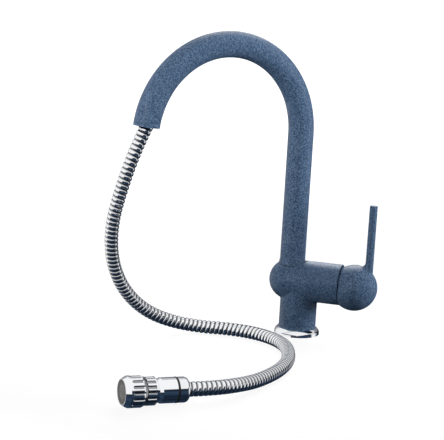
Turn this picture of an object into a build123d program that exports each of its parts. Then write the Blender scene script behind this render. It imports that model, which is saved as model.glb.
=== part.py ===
from build123d import *
from math import acos, asin, atan2, cos, degrees, hypot, pi, radians, sin, sqrt, tan
import os

# Kitchen mixer tap with a pull-out spray. Millimetres and degrees.
# Origin at the centre of the base, on the deck. +X runs along the lever arm, -Y faces the user, +Z is up.

# Clearances
running_gap = 0.08      # turning fits
slip_gap = 0.03         # pieces that are pushed together and stay
free_gap = 0.3          # moving pieces that must not touch
seat_gap = 0.3          # ball handle in its cup

# Base ring and gasket
base_ring_d = 50.0
base_ring_h = 7.0
base_ring_edge = 1.4        # upright edge above the deck
base_ring_lip = 1.2         # top land round the column
ring_ledge_h = 2.4          # ledge that carries the column
ring_ledge_w = 1.8
gasket_w = 2.4
gasket_t = 1.6
gasket_margin = 1.6         # metal outside the gasket groove

# Cast body: column, arm and domed end
column_d = 41.0
arm_d = 45.0
arm_axis_h = 58.6           # axis of the cartridge and the ball
arm_rise = 1.4              # middle of the arm's outside above that axis
spout_setback = 10.0        # spout axis behind the column axis, away from the lever
dome_setback = 2.0          # dome centre beyond the spout axis
cast_radius = 2.5           # corner between column and arm
seat_rise = 18.4            # spout seat above the cartridge axis
seat_edge_radius = 3.5      # rounding of the arm's top beside the sunk seat
cup_land = 0.4              # flat rim at the end of the arm

# Spout
spout_d = 28.0
spout_wall = 1.2
spout_rise = 146.0          # straight length above the foot
bend_radius = 97.0
bend_angle = 173.0
spout_heading = -132.6      # from +X, as it stands
foot_flare = 1.0
foot_flare_h = 6.5
washer_t = 0.7
spigot_depth = 24.0
spigot_insert = 12.0        # length brazed inside the tube
spigot_d = 22.8
spigot_bore_d = 16.4
spigot_ring_section = 2.2
spigot_ring_depths = (4.5, 19.5)
stop_depth = 11.7           # stop screw below the foot
stop_groove_depth = 1.8
stop_screw_d = 5.0
stop_tip_d = 3.8
stop_screw_sunk = 1.6       # outer end below the skin of the body
hex_key = 2.5
swivel_each_way = 70.0      # either side of straight ahead
straight_ahead = -90.0

# Hose
hose_d = 14.4
hose_wall = 1.4
hose_bore_d = 17.0
hose_hug = 5.2              # the hose runs this far inside the bend's centre line
hose_kink_h = 30.0
hose_kink_radius = 500.0
hose_first_run = 24.0
hose_last_run = 26.0
coupling_d = 16.0
coupling_low = 4.0
coupling_len = 26.0
coupling_nut_len = 10.0
coupling_bore_d = 9.0
guide_len = 6.0

# Waterways in the body
inlet_thread_d = 7.0
inlet_way_d = 5.0
inlet_x = 4.0
inlet_y = 5.2
outlet_thread_d = 9.0
outlet_way_d = 6.0
outlet_x = 11.5
thread_depth = 12.0
stud_d = 5.0
stud_x = -4.5
stud_y = 13.8
valve_seat_x = 8.0
port_drop = 4.2             # inlet ports below the cartridge axis
port_d = 4.6
outlet_port_rise = 5.2

# Cartridge
cartridge_d = 34.8
neck_d = 22.0
neck_wall = 1.5
nut_len = 5.4
nut_x = 30.5
nut_slots = 4
nut_slot_w = 3.2
nut_slot_depth = 2.0
disc_d = 18.8
disc_t = 4.0
disc_from_pivot = 26.0
slider_d = 13.8
slider_t = 3.5
driver_len = 8.0
lip_t = 1.5
neck_short = 2.5            # neck ends this far before the pivot
carrier_flange_len = 5.6
carrier_neck_d = 15.2
carrier_past_pivot = 4.0
inlet_seal_d = 7.4
inlet_seal_t = 1.5
chamber_seal_section = 2.0
chamber_seal_x = 24.0

# Lever, stem and ball handle
ball_d = 50.8
ball_wall = 1.8
ball_from_spout = 71.5
rim_hidden = 0.2            # ball rim inside the cup
lever_d = 8.8
lever_from_ball = 15.0
lever_reach = 93.4          # top of the lever above the cartridge axis
lever_foot_radius = 5.0
lever_tip_radius = 0.8
lift_range = 20.0
stem_square = 6.0
stem_reach = 20.0
stem_boss_d = 6.4
stem_shank_d = 3.6
stem_tip_d = 4.0
stem_tip_from_pivot = 12.0
pin_d = 3.0
pin_len = 14.4
hub_d = 16.0
hub_from_pivot = 7.5
grub_d = 5.0
grub_len = 5.0
grub_from_pivot = 13.5

# Spray head, measured back from its face
head_rear_x = -34.0
head_rear_y = -306.0
head_heading = -141.5
head_tilt = 1.4             # nose up
head_len = 65.5
floor_gap = 0.05
jet_ring_d = 30.4
jet_ring_len = 21.3
jet_tail_len = 3.6          # rear end of the ring, tapering
jet_tail_d = 27.0
face_rim_d = 25.2
bezel_len = 5.0
face_d = 24.0
face_sunk = 0.5
face_t = 3.0
jet_bore_d = 22.6
grip_count = 16
grip_radius = 2.0
grip_depth = 1.0
grip_start = 8.5
grip_turn = 9.6             # angle of the first grip hollow
collar_gap = 0.9
collar_d = 27.4
collar_len = 9.3
vee_len = 6.0
vee_depth = 1.6
shank_d = 24.6
shank_end = 52.3
seal_proud = 0.3
nut_start = 54.5
nut_round = 4.8
nut_rear_d = 16.4
head_bore_d = 17.0
aerator_d = 13.0
aerator_len = 8.0
aerator_slots = 6
aerator_slot_w = 1.0
nozzle_count = 20
nozzle_d = 1.4
nozzle_circle_d = 19.2
check_valve_d = 12.0
check_valve_len = 9.0
tail_bore_d = 8.0

# Places worked out from the sizes above
arm_r = arm_d / 2
ball_r = ball_d / 2
cup_r = ball_r + seat_gap
column_r = column_d / 2
spout_r = spout_d / 2
hose_r = hose_d / 2
spout_x = -spout_setback
dome_x = spout_x - dome_setback
ball_x = spout_x + ball_from_spout
seat_z = arm_axis_h + seat_rise
foot_z = seat_z + washer_t
foot_r = spout_r + foot_flare
seat_r = foot_r + free_gap
socket_r = spigot_d / 2 + running_gap
socket_floor_z = foot_z - spigot_depth - free_gap
arm_z = arm_axis_h + arm_rise
arm_end_x = ball_x - sqrt(cup_r ** 2 - (arm_r - arm_rise - cup_land) ** 2)
ball_rim_x = arm_end_x - rim_hidden
cartridge_bore_r = cartridge_d / 2 + slip_gap
slide_stroke = stem_tip_from_pivot * sin(radians(lift_range))
stop_z = foot_z - stop_depth
swivel_low = straight_ahead - swivel_each_way - spout_heading
swivel_high = straight_ahead + swivel_each_way - spout_heading
outward = Vector(cos(radians(spout_heading)), sin(radians(spout_heading)), 0)
hug_angle = bend_angle - degrees(acos((bend_radius - hose_hug) / bend_radius))
stand = (Align.CENTER, Align.CENTER, Align.MIN)
along_arm = Pos(0, 0, arm_axis_h) * Rot(0, 90, 0)
spout_place = Pos(spout_x, 0, foot_z) * Rot(0, 0, spout_heading)
pivot_place = Pos(ball_x, 0, arm_axis_h)
side_seam = Rot(0, 90, 0) * Rot(0, 0, 90)

# The spray head lies on the deck on its widest ring
head_out = Vector(
    cos(radians(head_heading)) * cos(radians(head_tilt)),
    sin(radians(head_heading)) * cos(radians(head_tilt)),
    sin(radians(head_tilt)),
)
ring_axis_h = jet_ring_d / 2 / cos(radians(head_tilt)) + floor_gap
head_rear = Vector(
    head_rear_x,
    head_rear_y,
    ring_axis_h - (head_len - jet_ring_len + jet_tail_len) * sin(radians(head_tilt)),
)
head_place = Plane(
    origin=head_rear + head_out * head_len,
    x_dir=Vector(0, 0, 1) - head_out * head_out.Z,
    z_dir=head_out,
).location


def upright(radius, low, high, x=0.0, y=0.0):
    return Pos(x, y, low) * Cylinder(radius, high - low, align=stand)


def lengthwise(radius, near, far, y=0.0, z=arm_axis_h):
    return Pos(near, y, z) * Rot(0, 90, 0) * Cylinder(radius, far - near, align=stand)


def crosswise(radius, near, far, x, z):
    return Pos(x, near, z) * Rot(-90, 0, 0) * Cylinder(radius, far - near, align=stand)


def ball_shape(radius):
    return pivot_place * side_seam * Sphere(radius)


def lathe(*corners):
    outline = Polyline(*[(radius, 0, height) for radius, height in corners], close=True)
    return revolve(make_face(outline), Axis.Z)


def ring(inner, outer, low, high):
    return lathe((inner, low), (outer, low), (outer, high), (inner, high))


def hexagon(low, high):
    return Pos(0, 0, low) * extrude(RegularPolygon(hex_key / 2, 6, major_radius=False), high - low)


def base_ring():
    inner = column_r - ring_ledge_w
    fit = column_r + slip_gap
    outer = base_ring_d / 2
    top = fit + base_ring_lip
    gasket_out = outer - gasket_margin
    gasket_in = gasket_out - gasket_w
    line = Polyline(
        (top, 0, base_ring_h),
        (fit, 0, base_ring_h),
        (fit, 0, ring_ledge_h),
        (inner, 0, ring_ledge_h),
        (inner, 0, 0),
        (gasket_in, 0, 0),
        (gasket_in, 0, gasket_t),
        (gasket_out, 0, gasket_t),
        (gasket_out, 0, 0),
        (outer, 0, 0),
        (outer, 0, base_ring_edge),
    )
    curve = TangentArc((outer, 0, base_ring_edge), (top, 0, base_ring_h), tangent=(0, 0, 1))
    return revolve(make_face(line + curve), Axis.Z)


def base_gasket():
    outer = base_ring_d / 2 - gasket_margin - slip_gap
    return ring(outer - gasket_w + 2 * slip_gap, outer, 0, gasket_t - slip_gap)


def mixer_body():
    column = upright(column_r, ring_ledge_h, arm_axis_h)
    arm = lengthwise(arm_r, dome_x, arm_end_x, 0, arm_z)
    dome = Pos(dome_x, 0, arm_z) * Sphere(arm_r)
    tee = column + arm + dome
    under_arm = [
        edge
        for edge in tee.edges()
        if edge.bounding_box().max.Z < arm_axis_h - 1 and edge.bounding_box().min.Z > ring_ledge_h + 1
    ]
    tee = fillet(under_arm, cast_radius)
    # Sunk round seat for the spout, with the arm rounded off beside it
    tee += upright(seat_r, arm_axis_h, seat_z, x=spout_x)
    top = arm_z + arm_r
    flare = seat_r + seat_edge_radius
    line = Polyline(
        (flare, 0, top), (flare, 0, top + arm_r), (0, 0, top + arm_r), (0, 0, seat_z), (seat_r, 0, seat_z),
        (seat_r, 0, top - seat_edge_radius),
    )
    curve = TangentArc((seat_r, 0, top - seat_edge_radius), (flare, 0, top), tangent=(0, 0, 1))
    tee -= Pos(spout_x, 0, 0) * revolve(make_face(line + curve), Axis.Z)
    # Spigot socket and hose passage
    tee -= upright(socket_r, socket_floor_z, seat_z, x=spout_x)
    tee -= upright(hose_bore_d / 2, ring_ledge_h, socket_floor_z, x=spout_x)
    # Cartridge bore, and the cup that the ball handle turns in
    tee -= lengthwise(cartridge_bore_r, valve_seat_x, ball_x)
    tee -= ball_shape(cup_r)
    # Threaded tails, waterways and ports
    for side in (-1, 1):
        tee -= upright(inlet_thread_d / 2, ring_ledge_h, ring_ledge_h + thread_depth, inlet_x, side * inlet_y)
        tee -= upright(inlet_way_d / 2, ring_ledge_h, arm_axis_h, inlet_x, side * inlet_y)
        tee -= lengthwise(port_d / 2, inlet_x, valve_seat_x, side * inlet_y, arm_axis_h - port_drop)
        tee -= upright(stud_d / 2, ring_ledge_h, ring_ledge_h + thread_depth, stud_x, side * stud_y)
    tee -= upright(outlet_thread_d / 2, ring_ledge_h, ring_ledge_h + thread_depth, outlet_x)
    tee -= upright(outlet_way_d / 2, ring_ledge_h, arm_axis_h, outlet_x)
    # Tapped hole for the screw that limits the spout's swing
    tee -= crosswise(stop_screw_d / 2 + slip_gap, 0, arm_d, spout_x, stop_z)
    return tee


def stop_screw():
    skin_y = sqrt(arm_r ** 2 - (stop_z - arm_z) ** 2)
    outer_y = skin_y - stop_screw_sunk
    wall_y = socket_r + free_gap
    tip_y = socket_r - stop_groove_depth + free_gap
    screw = crosswise(stop_screw_d / 2, wall_y, outer_y, spout_x, stop_z)
    screw += crosswise(stop_tip_d / 2, tip_y, wall_y, spout_x, stop_z)
    return screw - Pos(spout_x, outer_y, stop_z) * Rot(90, 0, 0) * hexagon(0, stop_screw_d / 2)


def swivel_washer():
    return Pos(spout_x, 0, 0) * ring(socket_r + free_gap, foot_r, seat_z, foot_z)


def bend_arc(radius, start, end):
    return CenterArc((bend_radius, spout_rise), radius, 180 - start, start - end)


def spout_tube():
    path = Plane.XZ * (Line((0, 0), (0, spout_rise)) + bend_arc(bend_radius, 0, bend_angle))
    bore_r = spout_r - spout_wall
    tube = sweep(Circle(spout_r), path=path)
    flare = lathe((0, 0), (foot_r, 0), (foot_r, foot_flare), (spout_r, foot_flare_h), (0, foot_flare_h))
    return spout_place * (tube + flare - sweep(Circle(bore_r), path=path))


def spout_spigot():
    insert_r = spout_r - spout_wall - slip_gap
    shank_r = spigot_d / 2
    bore_r = spigot_bore_d / 2
    spigot = lathe(
        (bore_r, -spigot_depth),
        (shank_r, -spigot_depth),
        (shank_r, 0),
        (insert_r, 0),
        (insert_r, spigot_insert),
        (bore_r, spigot_insert),
    )
    groove_r = socket_r - spigot_ring_section
    for depth in spigot_ring_depths:
        half = spigot_ring_section / 2 + slip_gap
        spigot -= ring(groove_r, spigot_d, -depth - half, -depth + half)
    # The groove ends where the stop screw ends the swing
    tip_angle = degrees(asin((stop_tip_d / 2 + free_gap) / (shank_r - stop_groove_depth)))
    screw_angle = 90 - spout_heading
    start = screw_angle - swivel_high - tip_angle
    sweep_angle = swivel_high - swivel_low + 2 * tip_angle
    half = stop_tip_d / 2 + free_gap
    section = Polyline(
        (shank_r - stop_groove_depth, 0, -stop_depth - half),
        (shank_r + 1, 0, -stop_depth - half),
        (shank_r + 1, 0, -stop_depth + half),
        (shank_r - stop_groove_depth, 0, -stop_depth + half),
        close=True,
    )
    spigot -= Rot(0, 0, start) * revolve(make_face(section), Axis.Z, revolution_arc=sweep_angle)
    return spout_place * spigot


def spigot_rings():
    minor = spigot_ring_section / 2 - slip_gap
    major = socket_r - minor - slip_gap
    rings = [spout_place * Pos(0, 0, -depth) * Torus(major, minor) for depth in spigot_ring_depths]
    return Compound(children=rings)


def hose_guide():
    outer = spout_r - spout_wall - slip_gap
    inner = hose_r + free_gap
    return spout_place * ring(inner, outer, spigot_insert, spigot_insert + guide_len)


def hose_in_spout():
    bottom = coupling_low + coupling_len - foot_z
    hug_r = bend_radius - hose_hug
    rise = spout_rise - hose_kink_h
    reach = hypot(bend_radius, rise)
    lean = atan2(rise, bend_radius) + asin(hug_r / reach)
    run = sqrt(reach ** 2 - hug_r ** 2)
    touch = (run * cos(lean), hose_kink_h + run * sin(lean))
    lower = FilletPolyline((0, bottom), (0, hose_kink_h), touch, radius=hose_kink_radius)
    arch = bend_arc(hug_r, 90 - degrees(lean), hug_angle)
    mouth_angle = radians(bend_angle)
    mouth = (bend_radius * (1 - cos(mouth_angle)), spout_rise + bend_radius * sin(mouth_angle))
    path = Plane.XZ * (lower + arch + Line(arch @ 1, mouth))
    tube = sweep(Pos(0, 0, bottom) * Circle(hose_r), path=path)
    return spout_place * (tube - sweep(Pos(0, 0, bottom) * Circle(hose_r - hose_wall), path=path))


def hose_coupling():
    nut_r = coupling_d / 2
    bore = coupling_bore_d / 2
    high = coupling_low + coupling_len
    step = coupling_low + coupling_nut_len
    return Pos(spout_x, 0, 0) * lathe(
        (bore, coupling_low), (nut_r, coupling_low), (nut_r, step), (hose_r, step), (hose_r, high), (bore, high)
    )


def hose_route():
    mouth_angle = radians(bend_angle)
    mouth = Vector(spout_x, 0, foot_z + spout_rise + bend_radius * sin(mouth_angle))
    mouth += outward * (bend_radius * (1 - cos(mouth_angle)))
    leave = outward * sin(radians(hug_angle)) + Vector(0, 0, cos(radians(hug_angle)))
    lie = hose_r
    return [
        mouth,
        mouth + leave * hose_first_run,
        Vector(-155, -154, 190),
        Vector(-162, -154.5, 165),
        Vector(-169, -152, 139),
        Vector(-173, -145.5, 113),
        Vector(-173.5, -135, 87),
        Vector(-169, -121, 62),
        Vector(-159.5, -104, 40.5),
        Vector(-144, -86, 23.5),
        Vector(-122.5, -68, 12.5),
        Vector(-96, -54, lie),
        Vector(-66, -48, lie),
        Vector(-36, -51, lie),
        Vector(-10, -65, lie),
        Vector(9, -88, lie),
        Vector(19, -116, lie),
        Vector(25, -146, lie),
        Vector(25, -177.5, lie),
        Vector(20, -209, lie + 0.5),
        Vector(12.5, -239, lie + 1.9),
        Vector(2, -266.5, lie + 4.6),
        head_rear - head_out * hose_last_run,
        head_rear,
    ]


def spray_hose():
    route = hose_route()
    runs = [b - a for a, b in zip(route, route[1:])]
    radii = []
    for before, after in zip(runs, runs[1:]):
        half_turn = radians(before.get_angle(after)) / 2
        radii.append(0.45 * min(before.length, after.length) / tan(half_turn))
    path = FilletPolyline(*route, radius=radii)
    start = Plane(origin=route[0], z_dir=runs[0])
    outer = sweep(start * Circle(hose_r), path=path)
    hose = outer - sweep(start * Circle(hose_r - hose_wall), path=path)
    print("hose length", round(path.length, 1), "radii", [round(radius) for radius in radii])
    section = pi * (hose_r ** 2 - (hose_r - hose_wall) ** 2)
    print("hose volume", round(hose.volume), "section times length", round(section * path.length))
    return hose


def cartridge_housing():
    body_r = cartridge_d / 2
    neck_r = neck_d / 2
    cavity_r = neck_r - neck_wall
    lip_r = carrier_neck_d / 2 + free_gap
    disc_x = ball_x - disc_from_pivot
    end_x = ball_x - neck_short
    housing = lathe(
        (0, valve_seat_x),
        (body_r, valve_seat_x),
        (body_r, nut_x),
        (neck_r, nut_x),
        (neck_r, end_x),
        (lip_r, end_x),
        (lip_r, end_x - lip_t),
        (cavity_r, end_x - lip_t),
        (cavity_r, disc_x),
        (0, disc_x),
    )
    groove_r = cartridge_bore_r - chamber_seal_section
    half = chamber_seal_section / 2 + slip_gap
    housing -= ring(groove_r, cartridge_d, chamber_seal_x - half, chamber_seal_x + half)
    housing = along_arm * housing
    for side in (-1, 1):
        y = side * inlet_y
        housing -= lengthwise(port_d / 2, valve_seat_x, disc_x, y, arm_axis_h - port_drop)
        housing -= lengthwise(
            inlet_seal_d / 2, valve_seat_x, valve_seat_x + inlet_seal_t, y, arm_axis_h - port_drop
        )
    # Mixed water comes back from the discs and leaves through the side
    housing -= lengthwise(port_d / 2, outlet_x - port_d / 2, disc_x, 0, arm_axis_h + outlet_port_rise)
    housing -= upright(port_d / 2, arm_axis_h - cartridge_d, arm_axis_h + outlet_port_rise, outlet_x)
    return housing


def inlet_seals():
    seals = []
    for side in (-1, 1):
        y = side * inlet_y
        z = arm_axis_h - port_drop
        seal = lengthwise(inlet_seal_d / 2 - slip_gap, valve_seat_x, valve_seat_x + inlet_seal_t, y, z)
        seals.append(seal - lengthwise(port_d / 2, valve_seat_x, valve_seat_x + inlet_seal_t, y, z))
    return Compound(children=seals)


def chamber_seal():
    minor = chamber_seal_section / 2 - slip_gap
    return along_arm * Pos(0, 0, chamber_seal_x) * Torus(cartridge_bore_r - minor - slip_gap, minor)


def cartridge_nut():
    inner = neck_d / 2 + slip_gap
    nut = ring(inner, cartridge_bore_r - slip_gap, nut_x, nut_x + nut_len)
    for index in range(nut_slots):
        slot = Box(cartridge_d * 2, nut_slot_w, nut_slot_depth, align=stand)
        keep = Pos(0, 0, nut_x + nut_len - nut_slot_depth) * slot
        nut -= Rot(0, 0, 180 * index / nut_slots) * keep
    return along_arm * nut


def fixed_disc():
    start = ball_x - disc_from_pivot
    disc = lengthwise(disc_d / 2, start, start + disc_t)
    for side in (-1, 1):
        disc -= lengthwise(port_d / 2, start, start + disc_t, side * inlet_y, arm_axis_h - port_drop)
    return disc - lengthwise(port_d / 2, start, start + disc_t, 0, arm_axis_h + outlet_port_rise / 2 + port_d / 4)


def moving_disc():
    start = ball_x - disc_from_pivot + disc_t
    z = arm_axis_h - slide_stroke / 2
    return lengthwise(slider_d / 2, start, start + slider_t, 0, z)


def disc_driver():
    start = ball_x - disc_from_pivot + disc_t + slider_t
    z = arm_axis_h - slide_stroke / 2
    driver = lengthwise(slider_d / 2, start, start + driver_len, 0, z)
    socket_x = ball_x - stem_tip_from_pivot - stem_tip_d / 2 - free_gap
    return driver - lengthwise(stem_tip_d / 2 + free_gap, socket_x, start + driver_len)


def cartridge_carrier():
    lip_x = ball_x - neck_short - lip_t - free_gap
    flange_r = neck_d / 2 - neck_wall - running_gap
    neck_r = carrier_neck_d / 2
    carrier = lengthwise(flange_r, lip_x - carrier_flange_len, lip_x)
    carrier += lengthwise(neck_r, lip_x - carrier_flange_len, ball_x + carrier_past_pivot)
    # Slot in which the stem tilts
    width = stem_square + 2 * free_gap
    rise = tan(radians(lift_range))
    inner_run = ball_x - lip_x + carrier_flange_len
    shank_half = stem_shank_d / 2 / cos(radians(lift_range)) + free_gap
    bar_half = stem_square / 2 / cos(radians(lift_range)) + free_gap
    boss_half = stem_boss_d / 2 + free_gap
    high = inner_run * rise + shank_half
    low = carrier_past_pivot * rise + bar_half
    inner = Pos(0, 0, (high - boss_half) / 2) * Box(
        inner_run, width, high + boss_half, align=(Align.MAX, Align.CENTER, Align.CENTER)
    )
    outer = Pos(0, 0, (boss_half - low) / 2) * Box(
        carrier_past_pivot, width, low + boss_half, align=(Align.MIN, Align.CENTER, Align.CENTER)
    )
    carrier -= pivot_place * (inner + outer)
    return carrier - crosswise(pin_d / 2 + slip_gap, -pin_len / 2, pin_len / 2, ball_x, arm_axis_h)


def stem_pin():
    return crosswise(pin_d / 2, -pin_len / 2, pin_len / 2, ball_x, arm_axis_h)


def lever_stem():
    half = stem_square / 2
    stem = crosswise(stem_boss_d / 2, -half, half, ball_x, arm_axis_h)
    stem += lengthwise(stem_shank_d / 2, ball_x - stem_tip_from_pivot, ball_x)
    stem += Pos(ball_x - stem_tip_from_pivot, 0, arm_axis_h) * Sphere(stem_tip_d / 2)
    stem += pivot_place * Box(
        stem_reach, stem_square, stem_square, align=(Align.MIN, Align.CENTER, Align.CENTER)
    )
    return stem - crosswise(pin_d / 2 + running_gap, -stem_square, stem_square, ball_x, arm_axis_h)


def lever_handle():
    lever_x = ball_x + lever_from_ball
    ball = ball_shape(ball_r)
    lever = upright(lever_d / 2, arm_axis_h, arm_axis_h + lever_reach, x=lever_x)
    lever = fillet(lever.edges().group_by(Axis.Z)[-1], lever_tip_radius)
    handle = ball + lever
    foot = [
        edge
        for edge in handle.edges()
        if edge.geom_type != GeomType.LINE
        and abs(edge.center().X - lever_x) < lever_d
        and arm_axis_h + 1 < edge.center().Z < arm_axis_h + ball_r + 1
    ]
    handle = fillet(foot, lever_foot_radius)
    handle -= ball_shape(ball_r - ball_wall)
    # Hub that grips the stem
    hub = lengthwise(hub_d / 2, ball_x + hub_from_pivot, ball_x + ball_r)
    handle += hub & (ball_shape(ball_r - ball_wall / 2))
    socket = stem_square + 2 * slip_gap
    handle -= Pos(ball_x, 0, arm_axis_h) * Box(
        stem_reach + free_gap, socket, socket, align=(Align.MIN, Align.CENTER, Align.CENTER)
    )
    grub_x = ball_x + grub_from_pivot
    handle -= upright(grub_d / 2 + slip_gap, arm_axis_h - ball_r, arm_axis_h, x=grub_x)
    # Open side, hidden in the cup of the arm
    handle -= lengthwise(ball_d, ball_rim_x - ball_d, ball_rim_x)
    return handle


def lever_grub_screw():
    grub_x = ball_x + grub_from_pivot
    high = arm_axis_h - stem_square / 2 - slip_gap
    screw = upright(grub_d / 2, high - grub_len, high, x=grub_x)
    return screw - Pos(grub_x, 0, high - grub_len) * hexagon(0, grub_len / 2)


def lever_plug():
    grub_x = ball_x + grub_from_pivot
    peg = upright(grub_d / 2, arm_axis_h - ball_r, arm_axis_h - ball_r / 2, x=grub_x)
    inside = ball_shape(ball_r - ball_wall)
    return (peg & (ball_shape(ball_r))) - inside


def grip_hollow(radius, first, last):
    centre = radius + grip_radius - grip_depth
    hollow = Cylinder(grip_radius, last - first, align=(Align.CENTER, Align.CENTER, Align.MAX))
    return Pos(centre, 0, -first) * hollow + Pos(centre, 0, -first) * Sphere(grip_radius)


def gripped(shape, radius, first, last):
    for index in range(grip_count):
        turn = grip_turn + 360 * index / grip_count
        shape -= Rot(0, 0, turn) * grip_hollow(radius, first, last)
    return shape


def jet_ring():
    outer = jet_ring_d / 2
    bore = jet_bore_d / 2
    face_r = face_d / 2 + slip_gap
    shelf = face_sunk + face_t
    shell = lathe(
        (face_r, 0),
        (face_rim_d / 2, 0),
        (outer, -bezel_len),
        (outer, -jet_ring_len + jet_tail_len),
        (jet_tail_d / 2, -jet_ring_len),
        (bore, -jet_ring_len),
        (bore, -shelf),
        (face_r, -shelf),
    )
    return head_place * gripped(shell, outer, grip_start, jet_ring_len + 1)


def spray_face():
    outer = face_d / 2
    low = -face_sunk - face_t
    plate = ring(aerator_d / 2 + slip_gap, outer, low, -face_sunk)
    for index in range(nozzle_count):
        turn = Rot(0, 0, 360 * index / nozzle_count)
        plate -= turn * Pos(nozzle_circle_d / 2, 0, low) * Cylinder(nozzle_d / 2, face_t, align=stand)
    return head_place * plate


def aerator():
    radius = aerator_d / 2
    insert = Pos(0, 0, -face_sunk - aerator_len) * Cylinder(radius, aerator_len, align=stand)
    pitch = aerator_d / aerator_slots
    for index in range(1, aerator_slots):
        offset = -radius + pitch * index
        half = sqrt(radius ** 2 - offset ** 2) - pitch / 2
        slot = Box(aerator_slot_w, 2 * half, aerator_len, align=stand)
        insert -= Pos(offset, 0, -face_sunk - aerator_len) * slot
    return head_place * insert


def spray_body():
    spigot_r = jet_bore_d / 2 - running_gap
    collar_r = collar_d / 2
    shank_r = shank_d / 2
    bore = head_bore_d / 2
    collar_start = jet_ring_len + collar_gap
    collar_end = collar_start + collar_len
    front = face_sunk + face_t
    seal_groove_r = shank_r + seal_proud - (nut_start - shank_end) - slip_gap
    shell = lathe(
        (bore, -front),
        (spigot_r, -front),
        (spigot_r, -collar_start),
        (collar_r, -collar_start),
        (collar_r, -collar_end),
        (shank_r - vee_depth, -collar_end - vee_len / 2),
        (shank_r, -collar_end - vee_len),
        (shank_r, -shank_end),
        (seal_groove_r, -shank_end),
        (seal_groove_r, -nut_start),
        (bore, -nut_start),
    )
    return head_place * gripped(shell, collar_r, collar_start - 1, collar_end - 1)


def dock_seal():
    centre = (shank_end + nut_start) / 2
    minor = (nut_start - shank_end) / 2 - slip_gap
    return head_place * Pos(0, 0, -centre) * Torus(shank_d / 2 + seal_proud - minor, minor)


def hose_nut():
    outer = shank_d / 2
    bore = hose_r + free_gap
    rear = nut_rear_d / 2
    line = Polyline(
        (rear, 0, -head_len),
        (bore, 0, -head_len),
        (bore, 0, -nut_start),
        (outer, 0, -nut_start),
        (outer, 0, -head_len + nut_round),
    )
    bend = (outer + rear) / 2 + 0.2 * nut_round
    middle = (bend, 0, -head_len + 0.3 * nut_round)
    curve = ThreePointArc((outer, 0, -head_len + nut_round), middle, (rear, 0, -head_len))
    return head_place * revolve(make_face(line + curve), Axis.Z)


def hose_tail():
    return head_place * ring(tail_bore_d / 2, hose_r, -head_len, -nut_start)


def check_valve():
    low = -nut_start
    barrel = ring(tail_bore_d / 2, check_valve_d / 2, low, low + check_valve_len)
    flange = ring(check_valve_d / 2, head_bore_d / 2 - slip_gap, low, low + face_t)
    return head_place * (barrel + flange)


makers = (
    base_ring,
    base_gasket,
    mixer_body,
    stop_screw,
    swivel_washer,
    spout_tube,
    spout_spigot,
    spigot_rings,
    hose_guide,
    hose_in_spout,
    hose_coupling,
    spray_hose,
    cartridge_housing,
    inlet_seals,
    chamber_seal,
    cartridge_nut,
    fixed_disc,
    moving_disc,
    disc_driver,
    cartridge_carrier,
    stem_pin,
    lever_stem,
    lever_handle,
    lever_grub_screw,
    lever_plug,
    jet_ring,
    spray_face,
    aerator,
    spray_body,
    dock_seal,
    hose_nut,
    hose_tail,
    check_valve,
)

os.makedirs("parts", exist_ok=True)
for maker in makers:
    export_step(maker(), f"parts/{maker.__name__}.step")
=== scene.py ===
import bpy
import math
from mathutils import Matrix, Vector


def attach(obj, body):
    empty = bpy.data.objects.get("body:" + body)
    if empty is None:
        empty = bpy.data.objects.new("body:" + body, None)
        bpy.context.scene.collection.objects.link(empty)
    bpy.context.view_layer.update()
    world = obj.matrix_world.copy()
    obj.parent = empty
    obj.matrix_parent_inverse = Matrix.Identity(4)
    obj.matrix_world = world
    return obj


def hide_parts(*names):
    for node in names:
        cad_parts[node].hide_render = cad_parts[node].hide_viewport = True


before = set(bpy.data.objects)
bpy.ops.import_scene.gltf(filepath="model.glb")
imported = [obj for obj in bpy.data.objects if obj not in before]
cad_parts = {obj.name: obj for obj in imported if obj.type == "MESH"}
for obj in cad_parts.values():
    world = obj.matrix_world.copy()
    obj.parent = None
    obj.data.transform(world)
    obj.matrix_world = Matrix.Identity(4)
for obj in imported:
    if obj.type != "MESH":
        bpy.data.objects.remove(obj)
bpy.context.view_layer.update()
scene = bpy.context.scene
scene.view_settings.view_transform = "Standard"
white = (1, 1, 1)      # colours are written without alpha
millimetre = 0.001
print("frame loaded", len(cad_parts), "nodes")


# camera at the photograph's place, a long lens with a small roll
cameraFacts = {
    "place": (0.3787, -1.7169, 0.4641),
    "turn": 15.383,      # degrees to the left of +Y
    "dip": 11.0,         # degrees below level
    "roll": 3.287,
    "lens": 131.455,     # millimetres, as is the sensor's width
    "sensor": 36.0,
    "clip": (0.05, 50),
}


def makeCamera():
    turn, dip, roll = [math.radians(cameraFacts[name]) for name in ("turn", "dip", "roll")]
    right = Vector((math.cos(turn), math.sin(turn), 0))
    ahead = Vector((-math.sin(turn) * math.cos(dip), math.cos(turn) * math.cos(dip), -math.sin(dip)))
    up = right.cross(ahead)
    sideways = right * math.cos(roll) + up * math.sin(roll)
    upward = up * math.cos(roll) - right * math.sin(roll)
    data = bpy.data.cameras.new("photoCamera")
    data.lens = cameraFacts["lens"]
    data.sensor_width = cameraFacts["sensor"]
    data.clip_start, data.clip_end = cameraFacts["clip"]
    camera = bpy.data.objects.new("photoCamera", data)
    spin = Matrix((sideways, upward, -ahead)).transposed()
    camera.matrix_world = Matrix.Translation(cameraFacts["place"]) @ spin.to_4x4()
    scene.collection.objects.link(camera)
    scene.camera = camera


makeCamera()
print("camera placed")


# helpers for node trees: an input takes a constant or another node's output
def addNode(tree, kind, **settings):
    node = tree.nodes.new(kind)
    for name, value in settings.items():
        setattr(node, name, value)
    return node


def feed(tree, socket, value):
    if isinstance(value, bpy.types.NodeSocket):
        tree.links.new(value, socket)
    elif socket.type == "RGBA":
        socket.default_value = (*value, 1)
    else:
        socket.default_value = value


def feedNamed(tree, node, values):
    for name, value in values.items():
        feed(tree, node.inputs[name], value)


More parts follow.
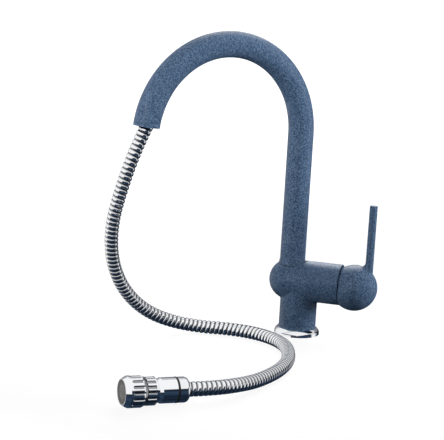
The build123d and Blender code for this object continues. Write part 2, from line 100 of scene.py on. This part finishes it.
def addFed(tree, kind, values, **settings):      # values in the order of the node's inputs
    node = addNode(tree, kind, **settings)
    for socket, value in zip(node.inputs, values):
        feed(tree, socket, value)
    return node


def addMath(tree, operation, *values):
    return addFed(tree, "ShaderNodeMath", values, operation=operation).outputs["Value"]


def addVectorMath(tree, operation, *values):
    node = addFed(tree, "ShaderNodeVectorMath", values, operation=operation)
    return node.outputs["Value" if operation in ("DOT_PRODUCT", "LENGTH") else "Vector"]


def addRange(tree, value, limits, results=(0, 1), kind="LINEAR"):
    node = addNode(tree, "ShaderNodeMapRange", interpolation_type=kind)
    ends = dict(zip(("From Min", "From Max", "To Min", "To Max"), (*limits, *results)))
    feedNamed(tree, node, {"Value": value, **ends})
    return node.outputs["Result"]


def addMix(tree, factor, first, second):
    node = addNode(tree, "ShaderNodeMix", data_type="RGBA")
    feedNamed(tree, node, {"Factor": factor, "A": first, "B": second})
    return node.outputs["Result"]


def addRamp(tree, value, stops):
    node = addNode(tree, "ShaderNodeValToRGB")
    elements = node.color_ramp.elements
    for element, (position, colour) in zip(elements, (stops[0], stops[-1])):
        element.position = position
        element.color = (*colour, 1)
    for position, colour in stops[1:-1]:
        elements.new(position).color = (*colour, 1)
    feed(tree, node.inputs["Fac"], value)
    return node.outputs["Color"]


def addNoise(tree, place, scale, detail, roughness=0.5):
    node = addNode(tree, "ShaderNodeTexNoise")
    feedNamed(tree, node, {"Vector": place, "Scale": scale, "Detail": detail, "Roughness": roughness})
    return node.outputs["Fac"]


def addBump(tree, shader, height, strength, distance):
    node = addNode(tree, "ShaderNodeBump")
    feedNamed(tree, node, {"Height": height, "Strength": strength, "Distance": distance})
    feed(tree, shader.inputs["Normal"], node.outputs["Normal"])


def addBlend(tree, factor, first, second):
    return addFed(tree, "ShaderNodeMixShader", (factor, first, second)).outputs["Shader"]


def objectPlace(tree):
    return addNode(tree, "ShaderNodeTexCoord").outputs["Object"]


def newGroup(name, kind, inputs, outputs):
    tree = bpy.data.node_groups.new(name, kind)
    for side, sockets in (("INPUT", inputs), ("OUTPUT", outputs)):
        for socket, valueKind in sockets.items():
            tree.interface.new_socket(name=socket, in_out=side, socket_type="NodeSocket" + valueKind)
    return tree, addNode(tree, "NodeGroupInput").outputs, addNode(tree, "NodeGroupOutput").inputs


def newMaterial(name):
    material = bpy.data.materials.new(name)
    material.use_nodes = True
    tree = material.node_tree
    return material, tree, tree.nodes["Principled BSDF"]


def giveMaterial(nodeNames, material):
    for name in nodeNames:
        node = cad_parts[name]
        node.data.materials.clear()
        node.data.materials.append(material)


def scaled(values, share):
    return [value * share for value in values]


# fine unevenness that every finish shares: a value about its base, and the noise as a height
grainFacts = {
    "detail": 4,
    "noiseMean": 0.5,
}


def makeSurfaceGroup():
    inputs = {"Scale": "Float", "Amount": "Float", "Base": "Float"}
    outputs = {"Value": "Float", "Height": "Float"}
    tree, entry, leave = newGroup("surfaceGrain", "ShaderNodeTree", inputs, outputs)
    noise = addNoise(tree, objectPlace(tree), entry["Scale"], grainFacts["detail"])
    swing = addMath(tree, "SUBTRACT", noise, grainFacts["noiseMean"])
    feed(tree, leave["Value"], addMath(tree, "MULTIPLY_ADD", swing, entry["Amount"], entry["Base"]))
    feed(tree, leave["Height"], noise)
    return tree


surfaceGrain = makeSurfaceGroup()


def placeGrain(tree, scale, amount, base):
    node = addNode(tree, "ShaderNodeGroup", node_tree=surfaceGrain)
    feedNamed(tree, node, {"Scale": scale, "Amount": amount, "Base": base})
    return node.outputs


# speckled blue coating of spout, body and handle
speckleFacts = {
    "dark": (0.014, 0.032, 0.066),
    "base": (0.075, 0.133, 0.238),
    "light": (0.197, 0.300, 0.445),
    "darkAt": 0.30,           # values of the noise that give the three colours
    "baseAt": 0.50,
    "lightAt": 0.72,
    "speckScale": 700,
    "speckDetail": 3,
    "speckRoughness": 0.7,
    "fleckScale": 900,
    "fleckShare": 0.16,       # share of the cells with a pale fleck
    "fleckStrength": 0.55,
    "gloss": 0.24,
    "roughness": 0.38,
    "grainScale": 300,
    "grainSpread": 0.12,
    "bumpStrength": 0.10,
    "bumpDistance": 0.0002,
}


def makeSpeckle():
    facts = speckleFacts
    material, tree, shader = newMaterial("speckledBlue")
    place = objectPlace(tree)
    specks = addNoise(tree, place, facts["speckScale"], facts["speckDetail"], facts["speckRoughness"])
    stops = [(facts[shade + "At"], facts[shade]) for shade in ("dark", "base", "light")]
    cells = addNode(tree, "ShaderNodeTexVoronoi")
    feedNamed(tree, cells, {"Vector": place, "Scale": facts["fleckScale"]})
    draw = addFed(tree, "ShaderNodeSeparateColor", (cells.outputs["Color"],)).outputs["Red"]
    picked = addMath(tree, "LESS_THAN", draw, facts["fleckShare"])
    fleck = addMath(tree, "MULTIPLY", picked, facts["fleckStrength"])
    grain = placeGrain(tree, facts["grainScale"], facts["grainSpread"], facts["roughness"])
    feedNamed(tree, shader, {
        "Base Color": addMix(tree, fleck, addRamp(tree, specks, stops), facts["light"]),
        "Roughness": grain["Value"],
        "Specular IOR Level": facts["gloss"],
    })
    addBump(tree, shader, specks, facts["bumpStrength"], facts["bumpDistance"])
    return material


# metals and plain mouldings; scale and spread are those of the uneven roughness
finishFacts = {
    "chrome": {"colour": (0.90, 0.91, 0.93), "metal": 1, "rough": 0.07, "scale": 60, "spread": 0.04},
    "brass": {"colour": (0.70, 0.53, 0.26), "metal": 1, "rough": 0.28, "scale": 160, "spread": 0.12},
    "steel": {"colour": (0.56, 0.57, 0.58), "metal": 1, "rough": 0.30, "scale": 200, "spread": 0.12},
    "blackRubber": {"colour": (0.018, 0.018, 0.019), "metal": 0, "rough": 0.70, "scale": 500, "spread": 0.20},
    "blackNylon": {"colour": (0.025, 0.026, 0.028), "metal": 0, "rough": 0.50, "scale": 420, "spread": 0.15},
    "whitePlastic": {"colour": (0.78, 0.78, 0.76), "metal": 0, "rough": 0.45, "scale": 350, "spread": 0.12},
    "discCeramic": {"colour": (0.82, 0.80, 0.76), "metal": 0, "rough": 0.22, "scale": 500, "spread": 0.08},
    "darkFace": {"colour": (0.28, 0.28, 0.26), "metal": 0, "rough": 0.48, "scale": 420, "spread": 0.14},
    "jetGrey": {"colour": (0.70, 0.70, 0.65), "metal": 0, "rough": 0.48, "scale": 420, "spread": 0.14},
}
unevenFacts = {
    "shade": 0.9,             # the colour falls to this share of itself
    "bumpStrength": 0.15,     # on mouldings alone
    "bumpDistance": 0.0002,
}


def makeFinish(name):
    facts = finishFacts[name]
    material, tree, shader = newMaterial(name)
    grain = placeGrain(tree, facts["scale"], facts["spread"], facts["rough"])
    darker = scaled(facts["colour"], unevenFacts["shade"])
    feedNamed(tree, shader, {
        "Base Color": addMix(tree, grain["Height"], darker, facts["colour"]),
        "Metallic": facts["metal"],
        "Roughness": grain["Value"],
    })
    if not facts["metal"]:
        addBump(tree, shader, grain["Height"], unevenFacts["bumpStrength"], unevenFacts["bumpDistance"])
    return material


# spray head, in millimetres and degrees, with lengths measured from its rear end
headFacts = {
    "rear": (-34.0, -306.0, 14.0867),
    "heading": -141.5,
    "tilt": 1.4,
    # grip hollows, which get painted shade: they lie under this radius, from here to there along the axis
    "flutes": {"jet_ring": (14.8, 47.8, 60.4), "spray_body": (13.3, 34.2, 43.0)},
    "shadedGap": (43.2, 46.7),      # painted shade over the gap between the two gripped pieces and the taper beside it
    # share of the chrome colour left in the hollows and the gap: painted shade
    "hollowShadeShare": 0.38,
    "fluteRough": 0.24,
    "pieces": (
        "hose_tail", "hose_nut", "check_valve", "dock_seal",
        "spray_body", "jet_ring", "spray_face", "aerator",
    ),
}


def headAxis():
    heading = math.radians(headFacts["heading"])
    tilt = math.radians(headFacts["tilt"])
    level = math.cos(tilt)
    return Vector((math.cos(heading) * level, math.sin(heading) * level, math.sin(tilt)))


def maskBetween(tree, value, low, high):
    above = addMath(tree, "GREATER_THAN", value, low)
    below = addMath(tree, "LESS_THAN", value, high)
    return addMath(tree, "MULTIPLY", above, below)


# mask of the painted shade: the grip's hollows and the gap
def makeHollowShadeGroup():
    inputs = {"Land Radius": "Float", "Rear End": "Float", "Front End": "Float"}
    tree, entry, leave = newGroup("hollowShadeMask", "ShaderNodeTree", inputs, {"Mask": "Float"})
    start = addVectorMath(tree, "SUBTRACT", objectPlace(tree), scaled(headFacts["rear"], millimetre))
    along = addVectorMath(tree, "DOT_PRODUCT", start, headAxis())
    fromAxis = addVectorMath(tree, "LENGTH", addVectorMath(tree, "CROSS_PRODUCT", start, headAxis()))
    sunk = addMath(tree, "LESS_THAN", fromAxis, entry["Land Radius"])
    hollow = addMath(tree, "MULTIPLY", sunk, maskBetween(tree, along, entry["Rear End"], entry["Front End"]))
    # painted shade along the gap, at any radius
    gapRear, gapFront = scaled(headFacts["shadedGap"], millimetre)
    shadedGap = maskBetween(tree, along, gapRear, gapFront)
    feed(tree, leave["Mask"], addMath(tree, "MAXIMUM", hollow, shadedGap))
    return tree


hollowShadeMask = makeHollowShadeGroup()


# chrome of the grip: the hollows are rougher than the lands, and darker by painted shade
def makeFluted(piece):
    chrome = finishFacts["chrome"]
    material, tree, shader = newMaterial("shadedFlutedChrome." + piece)
    hollows = addNode(tree, "ShaderNodeGroup", node_tree=hollowShadeMask)
    landRadius, rearEnd, frontEnd = scaled(headFacts["flutes"][piece], millimetre)
    feedNamed(tree, hollows, {"Land Radius": landRadius, "Rear End": rearEnd, "Front End": frontEnd})
    mask = hollows.outputs["Mask"]
    grain = placeGrain(tree, chrome["scale"], chrome["spread"], chrome["rough"])
    # painted shade: the colour in the hollows and the gap
    darker = scaled(chrome["colour"], headFacts["hollowShadeShare"])
    rougher = headFacts["fluteRough"] - chrome["rough"]
    feedNamed(tree, shader, {
        "Base Color": addMix(tree, mask, chrome["colour"], darker),
        "Metallic": chrome["metal"],
        "Roughness": addMath(tree, "MULTIPLY_ADD", mask, rougher, grain["Value"]),
    })
    return material


finishNodes = {
    "speckledBlue": ("mixer_body", "spout_tube", "lever_handle"),
    "chrome": ("base_ring", "spray_body", "hose_nut", "jet_ring", "hose_in_spout", "spray_hose"),
    "blackRubber": ("base_gasket", "spigot_rings", "inlet_seals", "chamber_seal", "dock_seal"),
    "blackNylon": ("swivel_washer", "hose_guide", "lever_plug"),
    "brass": ("spout_spigot", "hose_coupling", "cartridge_nut", "hose_tail"),
    "steel": ("stop_screw", "lever_grub_screw", "stem_pin", "lever_stem"),
    "whitePlastic": ("cartridge_housing", "cartridge_carrier", "disc_driver", "check_valve"),
    "discCeramic": ("fixed_disc", "moving_disc"),
    "darkFace": ("spray_face",),
    "jetGrey": ("aerator",),
}
finishes = {name: makeFinish(name) for name in finishFacts}
finishes["speckledBlue"] = makeSpeckle()
for finish, nodeNames in finishNodes.items():
    giveMaterial(nodeNames, finishes[finish])
for piece in headFacts["flutes"]:      # the two gripped pieces get fluted chrome with painted shade instead
    giveMaterial((piece,), makeFluted(piece))
print("finishes made", len(finishes))


# ribbed metal hose from the mouth of the spout to the spray head
hoseFacts = {
    "diameter": 0.0144,
    "pitch": 0.0051,
    "ribDepth": 0.0011,
    "flatShare": 0.40,      # share of a rib that stands at the full diameter
    "stepsPerRib": 12,
    "sides": 26,
    "routeSteps": 24,
    "routeOrder": 3,
    # painted shade: colour of the grooves between the ribs
    "groove": (0.05, 0.05, 0.052),
    "crest": (0.90, 0.91, 0.93),
    "roughness": 0.13,
    "grainScale": 240,
    "grainSpread": 0.10,
}
# where the hose leaves the arch, in millimetres and degrees
spoutFacts = {
    "x": -10.0,
    "foot": 77.7,
    "rise": 146.0,          # straight length above the foot
    "bend": 97.0,
    "angle": 173.0,
    "heading": -132.6,
    "hug": 5.2,             # the hose runs this far inside the bend's centre line
    "firstRun": 24.0,       # straight runs at the mouth and at the spray head
    "lastRun": 26.0,
}


def spoutPoint(out, up):
    heading = math.radians(spoutFacts["heading"])
    return Vector((spoutFacts["x"] + out * math.cos(heading), out * math.sin(heading), up))


def hoseRoute():
    angle = math.radians(spoutFacts["angle"])
    bend = spoutFacts["bend"]
    out = bend * (1 - math.cos(angle))
    up = spoutFacts["foot"] + spoutFacts["rise"] + bend * math.sin(angle)
    leaving = angle - math.acos((bend - spoutFacts["hug"]) / bend)
    firstRun = spoutFacts["firstRun"]
    rear = Vector(headFacts["rear"])
    lie = hoseFacts["diameter"] / 2 / millimetre      # height of the axis where the hose lies flat
    route = [
        spoutPoint(out, up),
        spoutPoint(out + firstRun * math.sin(leaving), up + firstRun * math.cos(leaving)),
        (-155, -154, 190), (-162, -154.5, 165), (-169, -152, 139), (-173, -145.5, 113), (-173.5, -135, 87),
        (-169, -121, 62), (-159.5, -104, 40.5), (-144, -86, 23.5), (-122.5, -68, 12.5), (-96, -54, lie),
        (-66, -48, lie), (-36, -51, lie), (-10, -65, lie), (9, -88, lie), (19, -116, lie), (25, -146, lie),
        (25, -177.5, lie), (20, -209, lie + 0.5), (12.5, -239, lie + 1.9), (2, -266.5, lie + 4.6),
        rear - headAxis() * spoutFacts["lastRun"],
        rear,
    ]
    return [Vector(point) * millimetre for point in route]


def makeRouteCurve(points):
    data = bpy.data.curves.new("hoseRoute", "CURVE")
    data.dimensions = "3D"
    data.resolution_u = hoseFacts["routeSteps"]
    spline = data.splines.new("NURBS")
    spline.points.add(len(points) - 1)
    for knot, point in zip(spline.points, points):
        knot.co = (*point, 1)
    spline.order_u = hoseFacts["routeOrder"]
    spline.use_endpoint_u = True
    curve = bpy.data.objects.new("hoseRoute", data)
    scene.collection.objects.link(curve)
    return curve


def makeHoseMaterial():
    material, tree, shader = newMaterial("ribbedChrome")
    crest = addNode(tree, "ShaderNodeAttribute", attribute_name="ribCrest").outputs["Fac"]
    grain = placeGrain(tree, hoseFacts["grainScale"], hoseFacts["grainSpread"], hoseFacts["roughness"])
    feedNamed(tree, shader, {
        # the grooves are darkened as painted shade, the crests keep the chrome colour
        "Base Color": addMix(tree, crest, hoseFacts["groove"], hoseFacts["crest"]),
        "Metallic": 1,
        "Roughness": grain["Value"],
    })
    return material


# keeps a parameter of the spline's points for the mesh that is made from it
def keepParameter(tree, curve, parameter):
    spline = addNode(tree, "GeometryNodeSplineParameter")
    keep = addNode(tree, "GeometryNodeCaptureAttribute", domain="POINT")
    keep.capture_items.new("FLOAT", parameter)
    feedNamed(tree, keep, {"Geometry": curve, parameter: spline.outputs[parameter]})
    return keep.outputs["Geometry"], keep.outputs[parameter]


# Geometry Nodes: a tube along the route with one rib wound round it
def makeRibTree(material):
    sizes = ("Radius", "Pitch", "Rib Depth", "Flat Share", "Step")
    inputs = {"Geometry": "Geometry", **{name: "Float" for name in sizes}, "Sides": "Int"}
    tree, entry, leave = newGroup("ribbedHose", "GeometryNodeTree", inputs, {"Geometry": "Geometry"})
    resample = addNode(tree, "GeometryNodeResampleCurve", mode="LENGTH")
    feedNamed(tree, resample, {"Curve": entry["Geometry"], "Length": entry["Step"]})
    circle = addNode(tree, "GeometryNodeCurvePrimitiveCircle", mode="RADIUS")
    feedNamed(tree, circle, {"Radius": entry["Radius"], "Resolution": entry["Sides"]})
    route, along = keepParameter(tree, resample.outputs["Curve"], "Length")
    profile, around = keepParameter(tree, circle.outputs["Curve"], "Factor")
    tube = addNode(tree, "GeometryNodeCurveToMesh")
    feedNamed(tree, tube, {"Curve": route, "Profile Curve": profile, "Fill Caps": True})
    # place within a rib: 0 at the middle of its crest, 1 at the bottom of the groove
    turns = addMath(tree, "ADD", addMath(tree, "DIVIDE", along, entry["Pitch"]), around)
    fromCrest = addMath(tree, "ABSOLUTE", addMath(tree, "MULTIPLY_ADD", addMath(tree, "FRACT", turns), 2, -1))
    groove = addRange(tree, fromCrest, (entry["Flat Share"], 1), kind="SMOOTHSTEP")
    sink = addMath(tree, "MULTIPLY", groove, entry["Rib Depth"])
    normal = addNode(tree, "GeometryNodeInputNormal").outputs["Normal"]
    inward = addNode(tree, "ShaderNodeVectorMath", operation="SCALE")
    feedNamed(tree, inward, {"Vector": normal, "Scale": addMath(tree, "MULTIPLY", sink, -1)})
    store = addNode(tree, "GeometryNodeStoreNamedAttribute", data_type="FLOAT", domain="POINT")
    feedNamed(tree, store, {"Name": "ribCrest", "Value": addMath(tree, "SUBTRACT", 1, groove)})
    move = addNode(tree, "GeometryNodeSetPosition")
    feed(tree, move.inputs["Offset"], inward.outputs["Vector"])
    smooth = addNode(tree, "GeometryNodeSetShadeSmooth")
    realize = addNode(tree, "GeometryNodeRealizeInstances")
    paint = addNode(tree, "GeometryNodeSetMaterial")
    feed(tree, paint.inputs["Material"], material)
    shape = tube.outputs["Mesh"]
    for node in (store, move, smooth, realize, paint):
        feed(tree, node.inputs["Geometry"], shape)
        shape = node.outputs["Geometry"]
    feed(tree, leave["Geometry"], shape)
    return tree


def setInput(modifier, name, value):
    for item in modifier.node_group.interface.items_tree:
        if item.name == name and item.in_out == "INPUT":
            modifier[item.identifier] = value


def plainMesh(source, name):
    bpy.context.view_layer.update()
    depsgraph = bpy.context.evaluated_depsgraph_get()
    mesh = bpy.data.meshes.new_from_object(source.evaluated_get(depsgraph))
    mesh.name = name
    piece = bpy.data.objects.new(name, mesh)
    scene.collection.objects.link(piece)
    return piece


def makeHose():
    curve = makeRouteCurve(hoseRoute())
    line = bpy.data.meshes.new_from_object(curve)
    bpy.data.meshes.remove(line)
    modifier = curve.modifiers.new("ribs", "NODES")
    modifier.node_group = makeRibTree(makeHoseMaterial())
    setInput(modifier, "Radius", hoseFacts["diameter"] / 2)
    setInput(modifier, "Pitch", hoseFacts["pitch"])
    setInput(modifier, "Rib Depth", hoseFacts["ribDepth"])
    setInput(modifier, "Flat Share", hoseFacts["flatShare"])
    setInput(modifier, "Step", hoseFacts["pitch"] / hoseFacts["stepsPerRib"])
    setInput(modifier, "Sides", hoseFacts["sides"])
    hose = plainMesh(curve, "ribbedHose")
    curve.modifiers.remove(modifier)
    bpy.data.objects.remove(curve)
    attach(hose, "spout")
    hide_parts("spray_hose")


makeHose()


# white studio: its even light comes from above, over a dark ground
worldFacts = {
    "light": 0.05,
    "ground": (0.022, 0.036, 0.058),
    "horizon": (-0.10, 0.10),
}
# what metal mirrors: white above a dark ground with a wavy edge, a grey back and a white card
mirrorFacts = {
    "lean": (-0.55, 0, 1),           # the ground stands higher on the right
    "edge": (-0.15, -0.05),
    "wave": 0.60,
    "waveScale": 2.4,
    "waveDetail": 1,
    "groundDepth": (-1.30, -0.10),
    "groundShades": (                # from the depth up to the edge
        (0.0, (0.004, 0.006, 0.010)),
        (0.30, (0.016, 0.030, 0.055)),
        (0.62, (0.030, 0.055, 0.100)),
        (0.86, (0.014, 0.024, 0.042)),
        (1.0, (0.004, 0.006, 0.010)),
    ),
    "backGrey": (0.22, 0.23, 0.26),
    "backFrom": (0.35, 0.85),
    "backTop": (0.45, 0.80),
    "card": (0.90, 0.45, -0.06),     # the way to the card, low on the right
    "cardEdge": (0.90, 0.965),
}


def softSky(tree, direction):
    height = addFed(tree, "ShaderNodeSeparateXYZ", (direction,)).outputs["Z"]
    return addMix(tree, addRange(tree, height, worldFacts["horizon"]), worldFacts["ground"], white)


def mirroredRoom(tree, direction):
    facts = mirrorFacts
    split = addFed(tree, "ShaderNodeSeparateXYZ", (direction,)).outputs
    back = addRange(tree, split["Y"], facts["backFrom"], kind="SMOOTHSTEP")
    underTop = addRange(tree, split["Z"], facts["backTop"], (1, 0), "SMOOTHSTEP")
    above = addMix(tree, addMath(tree, "MULTIPLY", back, underTop), white, facts["backGrey"])
    lean = addVectorMath(tree, "DOT_PRODUCT", direction, facts["lean"])
    noise = addNoise(tree, direction, facts["waveScale"], facts["waveDetail"])
    wavy = addMath(tree, "MULTIPLY_ADD", noise, facts["wave"], lean)
    level = addMath(tree, "SUBTRACT", wavy, facts["wave"] / 2)
    below = addRamp(tree, addRange(tree, level, facts["groundDepth"]), facts["groundShades"])
    towardsCard = addVectorMath(tree, "DOT_PRODUCT", direction, Vector(facts["card"]).normalized())
    card = addRange(tree, towardsCard, facts["cardEdge"], kind="SMOOTHSTEP")
    lit = addMath(tree, "MAXIMUM", card, addRange(tree, level, facts["edge"]))
    return addMix(tree, lit, below, above)


def makeWorld():
    world = bpy.data.worlds.new("studioWorld")
    scene.world = world
    world.use_nodes = True
    tree = world.node_tree
    tree.nodes.clear()
    direction = addNode(tree, "ShaderNodeTexCoord").outputs["Generated"]
    path = addNode(tree, "ShaderNodeLightPath").outputs
    backgrounds = []
    for colour, strength in (
        (softSky(tree, direction), worldFacts["light"]),
        (mirroredRoom(tree, direction), 1),
        (white, 1),
    ):
        background = addNode(tree, "ShaderNodeBackground")
        feedNamed(tree, background, {"Color": colour, "Strength": strength})
        backgrounds.append(background.outputs[0])
    soft, mirrored, plain = backgrounds
    onMetal = addMath(tree, "MAXIMUM", path["Is Glossy Ray"], path["Is Transmission Ray"])
    around = addBlend(tree, onMetal, soft, mirrored)
    leave = addNode(tree, "ShaderNodeOutputWorld")
    feed(tree, leave.inputs["Surface"], addBlend(tree, path["Is Camera Ray"], around, plain))


# white to the camera, with a faint shadow near the tap; darker to other rays, so it throws little light up
floorFacts = {
    "half": 20,
    "drop": 0.0002,                  # below the deck face
    "colour": (0.9, 0.9, 0.9),
    "roughness": 0.9,
    "glow": 1.27,
    "glowShare": 0.70,               # near the tap; the rest is lit floor, which holds the shadow
    "shadowReach": (0.42, 0.90),     # over this way the glow takes over
    "nearGround": (0.012, 0.013, 0.015),
    "farGround": (0.42, 0.44, 0.48),
    "groundReach": (0.25, 1.1),
}


def makeFloorMaterial():
    facts = floorFacts
    material, tree, shader = newMaterial("paleFloor")
    feedNamed(tree, shader, {
        "Base Color": facts["colour"],
        "Roughness": facts["roughness"],
        "Specular IOR Level": 0,
    })
    away = addVectorMath(tree, "LENGTH", objectPlace(tree))
    glow = addNode(tree, "ShaderNodeEmission")
    feedNamed(tree, glow, {"Color": white, "Strength": facts["glow"]})
    whiter = addRange(tree, away, facts["shadowReach"], (facts["glowShare"], 1))
    seen = addBlend(tree, whiter, shader.outputs["BSDF"], glow.outputs[0])
    farther = addRange(tree, away, facts["groundReach"])
    bounce = addNode(tree, "ShaderNodeEmission")
    feed(tree, bounce.inputs["Color"], addMix(tree, farther, facts["nearGround"], facts["farGround"]))
    isCamera = addNode(tree, "ShaderNodeLightPath").outputs["Is Camera Ray"]
    leave = tree.nodes["Material Output"]
    feed(tree, leave.inputs["Surface"], addBlend(tree, isCamera, bounce.outputs[0], seen))
    return material


def makeFloor():
    half = floorFacts["half"]
    corners = [(-half, -half, 0), (half, -half, 0), (half, half, 0), (-half, half, 0)]
    mesh = bpy.data.meshes.new("studioFloor")
    mesh.from_pydata(corners, [], [(0, 1, 2, 3)])
    mesh.materials.append(makeFloorMaterial())
    floor = bpy.data.objects.new("studioFloor", mesh)
    floor.location.z = -floorFacts["drop"]
    floor.visible_glossy = False
    scene.collection.objects.link(floor)
    return floor


# soft lamps: width and height in metres, spread in degrees
lampFacts = {
    "frontFill": {
        "place": (-0.5, -1.0, 0.55), "aim": (-0.10, -0.08, 0.30), "width": 0.6, "height": 0.5,
        "watts": 0.68, "spread": 40, "onChrome": True, "gloss": False,
    },
    "topBackBox": {
        "place": (0.05, 0.80, 1.35), "aim": (0.0, 0.0, 0.15), "width": 1.5, "height": 0.9,
        "watts": 8.8, "spread": 180, "onChrome": False, "gloss": True,
    },
    "shoulderBox": {
        "place": (-0.06, 0.42, 0.38), "aim": (0.05, 0.0, 0.08), "width": 0.45, "height": 0.35,
        "watts": 0.26, "spread": 60, "onChrome": False, "gloss": True,
    },
    "rightStrip": {
        "place": (1.32, 0.20, 0.45), "aim": (0.0, 0.0, 0.27), "width": 0.35, "height": 0.9,
        "watts": 1.55, "spread": 42, "onChrome": False, "gloss": False,
    },
}


def makeLamps(floor):
    dull = bpy.data.collections.new("dullPieces")      # all that isn't chrome
    for name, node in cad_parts.items():
        if name not in finishNodes["chrome"]:
            dull.objects.link(node)
    dull.objects.link(floor)
    for name, facts in lampFacts.items():
        data = bpy.data.lights.new(name, "AREA")
        data.shape = "RECTANGLE"
        data.size = facts["width"]
        data.size_y = facts["height"]
        data.energy = facts["watts"]
        data.spread = math.radians(facts["spread"])
        lamp = bpy.data.objects.new(name, data)
        lamp.location = facts["place"]
        lamp.rotation_mode = "QUATERNION"
        lamp.rotation_quaternion = (Vector(facts["aim"]) - Vector(facts["place"])).to_track_quat("-Z", "Y")
        lamp.visible_camera = False
        lamp.visible_glossy = facts["gloss"]
        if not facts["onChrome"]:
            lamp.light_linking.receiver_collection = dull
        scene.collection.objects.link(lamp)


makeWorld()
makeLamps(makeFloor())
print("studio ready")

bpy.context.view_layer.update()
